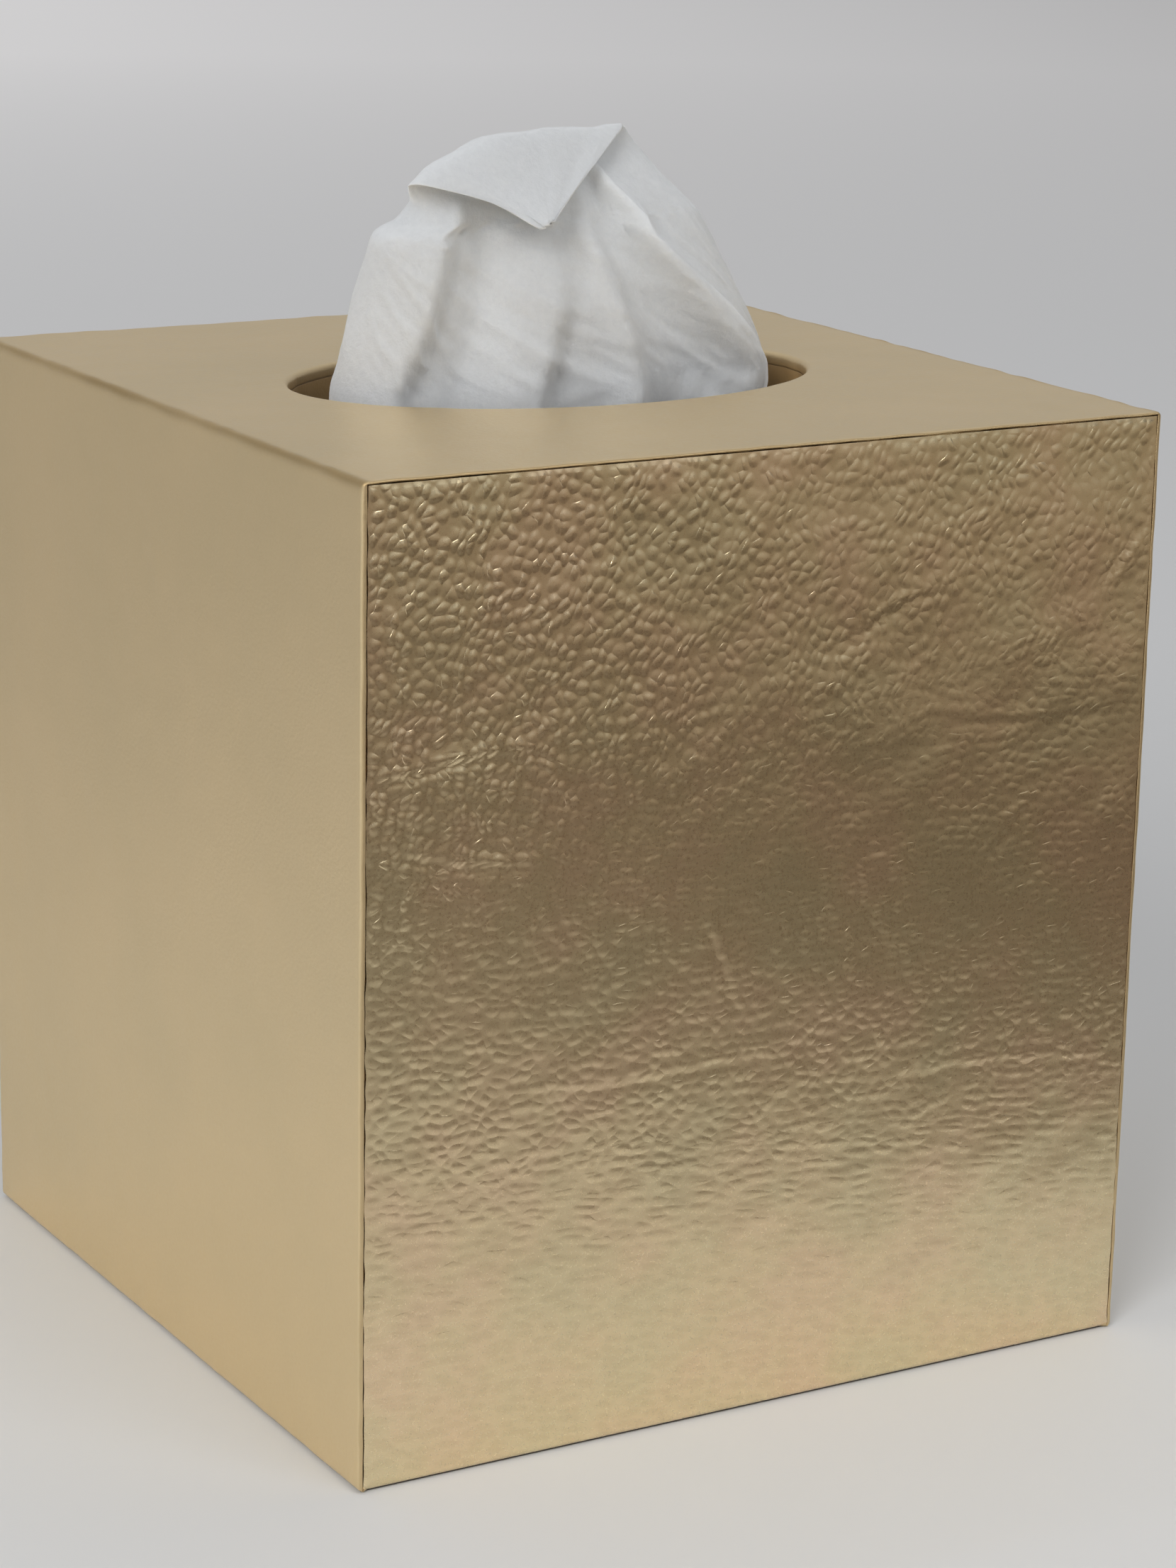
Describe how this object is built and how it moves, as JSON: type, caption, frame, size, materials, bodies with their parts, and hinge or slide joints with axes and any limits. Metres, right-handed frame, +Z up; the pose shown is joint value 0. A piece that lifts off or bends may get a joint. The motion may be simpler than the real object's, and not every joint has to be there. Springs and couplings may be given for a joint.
{
  "type": "tissue box cover",
  "caption": "Cube tissue box cover in gold leather over a board carcass, open below, with an oval mouth in its top through which a tissue stands up from the carton inside.",
  "frame": {"origin": "middle of the base, on the surface that the cover and its carton stand on", "axes": "+Z up through the oval mouth, +X along the mouth's long axis, front leather panel at -Y"},
  "size_m": [0.133, 0.133, 0.1852],
  "materials": {
    "gold_leather": "satin",
    "fibreboard": "matte",
    "pin_steel": "satin",
    "lining": "matte",
    "felt": "matte",
    "carton_board": "matte",
    "carton_film": "gloss",
    "folded_sheets": "matte",
    "tissue": "matte"
  },
  "bodies": {
    "carton": {"tissue_carton": "carton_board", "carton_film": "carton_film", "tissue_stack": "folded_sheets"},
    "cover": {"top_board": "fibreboard", "front_board": "fibreboard", "back_board": "fibreboard", "left_board": "fibreboard", "right_board": "fibreboard", "panel_pins": "pin_steel", "leather_strap": "gold_leather", "front_leather": "gold_leather", "back_leather": "gold_leather", "mouth_band": "gold_leather", "top_lining": "lining", "front_lining": "lining", "back_lining": "lining", "left_lining": "lining", "right_lining": "lining", "front_felt": "felt", "back_felt": "felt", "left_felt": "felt", "right_felt": "felt"},
    "tissue": {"pulled_tissue": "tissue"}
  },
  "joints": [
    {"name": "cover_lift", "type": "slide", "parent": "carton", "child": "cover", "axis": [0, 0, 1], "range_m": [0, 0.2]},
    {"name": "tissue_pull", "type": "slide", "parent": "carton", "child": "tissue", "axis": [0, 0, 1], "range_m": [0, 0.07]}
  ]
}
